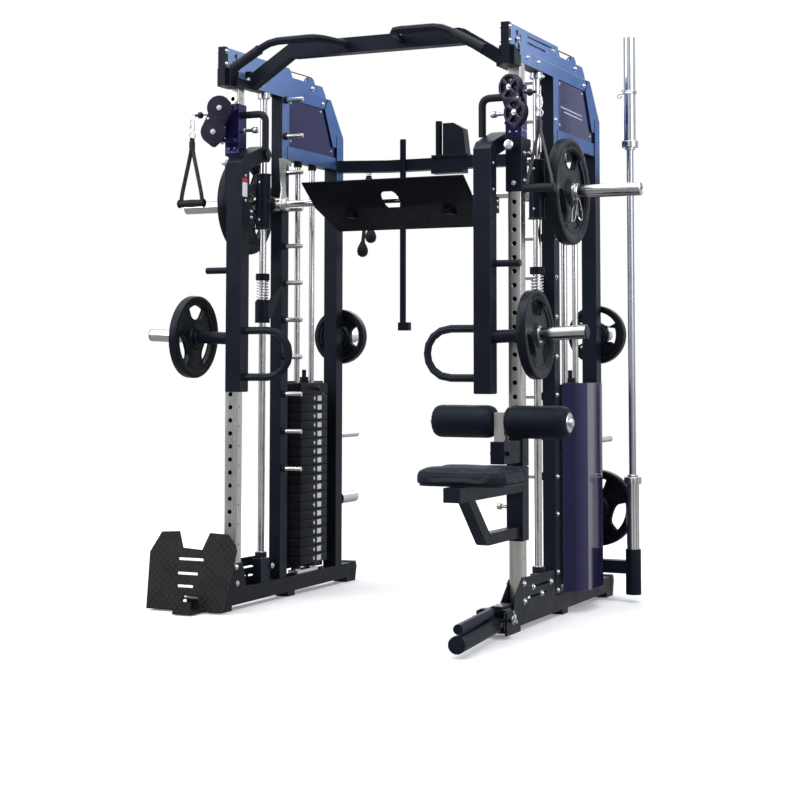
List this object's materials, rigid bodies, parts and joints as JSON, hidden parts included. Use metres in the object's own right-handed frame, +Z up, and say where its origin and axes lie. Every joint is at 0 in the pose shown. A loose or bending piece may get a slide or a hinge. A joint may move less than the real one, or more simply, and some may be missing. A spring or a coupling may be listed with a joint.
{
  "type": "smith machine",
  "caption": "Multi-function smith machine: guided bar, twin cable columns with weight stacks, lever arms, pull-up bar, seat with knee rollers, landmine, stored plates and barbell.",
  "frame": {"origin": "on the floor under the centre of the overall box, which is 196 mm behind the front uprights", "axes": "+X towards the side with the seat and the barbell holder, +Y to the back, +Z up"},
  "size_m": [1.94, 1.7874, 2.26],
  "materials": {
    "coat": "satin",
    "coat_blue": "satin",
    "gloss": "gloss",
    "nickel": "satin",
    "chrome": "polished",
    "rubber": "matte",
    "vinyl": "satin",
    "foam": "matte",
    "tread": "matte"
  },
  "bodies": {
    "frame": {"right_base_beam": "coat", "left_base_beam": "coat", "right_side_frame": "coat", "left_side_frame": "coat", "right_front_upright": "nickel", "left_front_upright": "nickel", "right_gusset_panel": "gloss", "left_gusset_panel": "gloss", "right_pulley_bracket": "coat_blue", "left_pulley_bracket": "coat_blue", "right_guide_rod": "chrome", "left_guide_rod": "chrome", "right_stack_rods": "chrome", "left_stack_rods": "chrome", "right_shroud": "gloss", "left_shroud": "gloss", "right_weight_stack": "rubber", "left_weight_stack": "rubber", "pull_up_bar": "coat", "rear_crossmember": "coat", "roller_post": "coat", "right_jammer_carriage": "coat", "foot_plate": "tread"},
    "bar_carriage": {"right_bar_slider": "coat", "left_bar_slider": "coat"},
    "guided_bar": {"smith_bar": "chrome", "right_bar_hook": "nickel", "left_bar_hook": "nickel"},
    "foot_press": {"leg_press_plate": "tread"},
    "left_lever_mount": {"left_jammer_carriage": "coat"},
    "seat": {"seat_frame": "coat", "seat_pad": "vinyl"},
    "inner_roller": {"inner_knee_roller": "foam"},
    "outer_roller": {"outer_knee_roller": "foam"},
    "landmine_yoke": {"landmine_swivel": "coat"},
    "landmine_sleeve": {"landmine_tubes": "coat"},
    "long_bar": {"barbell": "chrome"},
    "right_low_stored": {"right_lower_stored_plate": "rubber"},
    "right_bar_plate": {"right_smith_plate": "rubber"},
    "right_safety": {"right_spotter": "coat", "right_bumper_spring": "nickel"},
    "right_lever": {"right_jammer_arm": "coat"},
    "right_lever_plate": {"right_jammer_plate": "rubber"},
    "right_cable_carriage": {"right_pulley_carriage": "gloss"},
    "right_wheel_block": {"right_swivel_block": "coat"},
    "right_upper_wheel": {"right_upper_pulley": "coat"},
    "right_lower_wheel": {"right_lower_pulley": "coat"},
    "right_stack_top": {"right_lifted_plate": "rubber"},
    "right_high_stored": {"right_upper_stored_plate": "rubber"},
    "left_bar_plate": {"left_smith_plate": "rubber"},
    "left_safety": {"left_spotter": "coat", "left_bumper_spring": "nickel"},
    "left_lever": {"left_jammer_arm": "coat"},
    "left_lever_plate": {"left_jammer_plate": "rubber"},
    "left_cable_carriage": {"left_pulley_carriage": "gloss"},
    "left_wheel_block": {"left_swivel_block": "coat"},
    "left_upper_wheel": {"left_upper_pulley": "coat"},
    "left_lower_wheel": {"left_lower_pulley": "coat"},
    "left_stack_top": {"left_lifted_plate": "rubber"},
    "left_high_stored": {"left_upper_stored_plate": "rubber"}
  },
  "joints": [
    {"name": "bar_lift", "type": "slide", "parent": "frame", "child": "bar_carriage", "axis": [0, 0, 1], "range_m": [-0.15, 0.3]},
    {"name": "bar_turn", "type": "hinge", "parent": "bar_carriage", "child": "guided_bar", "pos_m": [0, 0.07369, 1.581], "axis": [1, 0, 0], "range_deg": [-16, 40]},
    {"name": "foot_press_tilt", "type": "hinge", "parent": "guided_bar", "child": "foot_press", "pos_m": [0, 0.07369, 1.581], "axis": [1, 0, 0], "range_deg": [-20, 20]},
    {"name": "right_bar_plate_slide", "type": "slide", "parent": "guided_bar", "child": "right_bar_plate", "axis": [1, 0, 0], "range_m": [0, 0.22]},
    {"name": "right_safety_slide", "type": "slide", "parent": "frame", "child": "right_safety", "axis": [0, 0, 1], "range_m": [-0.85, 0]},
    {"name": "right_lever_swing", "type": "hinge", "parent": "frame", "child": "right_lever", "pos_m": [0.504, -0.14632, 1.755], "axis": [-1, 0, 0], "range_deg": [0, 40]},
    {"name": "right_lever_plate_slide", "type": "slide", "parent": "right_lever", "child": "right_lever_plate", "axis": [0.9991, 0, 0.0432], "range_m": [0, 0.16]},
    {"name": "right_cable_carriage_slide", "type": "slide", "parent": "frame", "child": "right_cable_carriage", "axis": [0, 0, 1], "range_m": [0, 0.03]},
    {"name": "right_wheel_block_swivel", "type": "hinge", "parent": "right_cable_carriage", "child": "right_wheel_block", "pos_m": [0.618, -0.24232, 1.87], "axis": [0, 0, 1], "range_deg": [-10, 40]},
    {"name": "right_upper_wheel_spin", "type": "hinge", "parent": "right_wheel_block", "child": "right_upper_wheel", "pos_m": [0.60141, -0.29374, 1.9265], "axis": [0.342, 0.9397, 0], "range_deg": [-5, 1200]},
    {"name": "right_lower_wheel_spin", "type": "hinge", "parent": "right_wheel_block", "child": "right_lower_wheel", "pos_m": [0.62396, -0.30195, 1.833], "axis": [0.342, 0.9397, 0], "range_deg": [-5, 1200]},
    {"name": "right_stack_lift", "type": "slide", "parent": "frame", "child": "right_stack_top", "axis": [0, 0, 1], "range_m": [0, 0.83]},
    {"name": "right_high_stored_slide", "type": "slide", "parent": "frame", "child": "right_high_stored", "axis": [0, 1, 0], "range_m": [0, 0.1]},
    {"name": "left_bar_plate_slide", "type": "slide", "parent": "guided_bar", "child": "left_bar_plate", "axis": [-1, 0, 0], "range_m": [0, 0.22]},
    {"name": "left_safety_slide", "type": "slide", "parent": "frame", "child": "left_safety", "axis": [0, 0, 1], "range_m": [-0.85, 0]},
    {"name": "left_lever_mount_slide", "type": "slide", "parent": "frame", "child": "left_lever_mount", "axis": [0, 0, 1], "range_m": [-0.45, 0]},
    {"name": "left_lever_swing", "type": "hinge", "parent": "left_lever_mount", "child": "left_lever", "pos_m": [-0.504, -0.14632, 1.755], "axis": [-1, 0, 0], "range_deg": [0, 40]},
    {"name": "left_lever_plate_slide", "type": "slide", "parent": "left_lever", "child": "left_lever_plate", "axis": [-0.9991, 0, 0.0432], "range_m": [0, 0.16]},
    {"name": "left_cable_carriage_slide", "type": "slide", "parent": "frame", "child": "left_cable_carriage", "axis": [0, 0, 1], "range_m": [0, 0.03]},
    {"name": "left_wheel_block_swivel", "type": "hinge", "parent": "left_cable_carriage", "child": "left_wheel_block", "pos_m": [-0.618, -0.24232, 1.87], "axis": [0, 0, 1], "range_deg": [-40, 10]},
    {"name": "left_upper_wheel_spin", "type": "hinge", "parent": "left_wheel_block", "child": "left_upper_wheel", "pos_m": [-0.60141, -0.29374, 1.9265], "axis": [-0.342, 0.9397, 0], "range_deg": [-5, 1200]},
    {"name": "left_lower_wheel_spin", "type": "hinge", "parent": "left_wheel_block", "child": "left_lower_wheel", "pos_m": [-0.62396, -0.30195, 1.833], "axis": [-0.342, 0.9397, 0], "range_deg": [-5, 1200]},
    {"name": "left_stack_lift", "type": "slide", "parent": "frame", "child": "left_stack_top", "axis": [0, 0, 1], "range_m": [0, 0.83]},
    {"name": "left_high_stored_slide", "type": "slide", "parent": "frame", "child": "left_high_stored", "axis": [0, 1, 0], "range_m": [0, 0.1]},
    {"name": "right_low_stored_slide", "type": "slide", "parent": "frame", "child": "right_low_stored", "axis": [0, 1, 0], "range_m": [0, 0.1]},
    {"name": "seat_slide", "type": "slide", "parent": "frame", "child": "seat", "axis": [0, 0, 1], "range_m": [-0.1, 0]},
    {"name": "inner_roller_spin", "type": "hinge", "parent": "frame", "child": "inner_roller", "pos_m": [0.44875, -0.35631, 0.737], "axis": [1, 0, 0], "continuous": true},
    {"name": "outer_roller_spin", "type": "hinge", "parent": "frame", "child": "outer_roller", "pos_m": [0.72125, -0.35631, 0.737], "axis": [1, 0, 0], "continuous": true},
    {"name": "landmine_swivel_turn", "type": "hinge", "parent": "frame", "child": "landmine_yoke", "pos_m": [0.586, -0.39132, 0.055], "axis": [0, 0, 1], "range_deg": [-18, 18]},
    {"name": "landmine_tilt", "type": "hinge", "parent": "landmine_yoke", "child": "landmine_sleeve", "pos_m": [0.586, -0.43132, 0.062], "axis": [-1, 0, 0], "range_deg": [0, 55]},
    {"name": "long_bar_lift", "type": "slide", "parent": "frame", "child": "long_bar", "axis": [0, 0, 1], "range_m": [0, 0.2]}
  ],
  "couplings": [
    {"joint": "right_upper_wheel_spin", "follows": "right_stack_lift", "rad_per_m": 24.39},
    {"joint": "right_lower_wheel_spin", "follows": "right_stack_lift", "rad_per_m": 24.39},
    {"joint": "left_upper_wheel_spin", "follows": "left_stack_lift", "rad_per_m": 24.39},
    {"joint": "left_lower_wheel_spin", "follows": "left_stack_lift", "rad_per_m": 24.39}
  ]
}
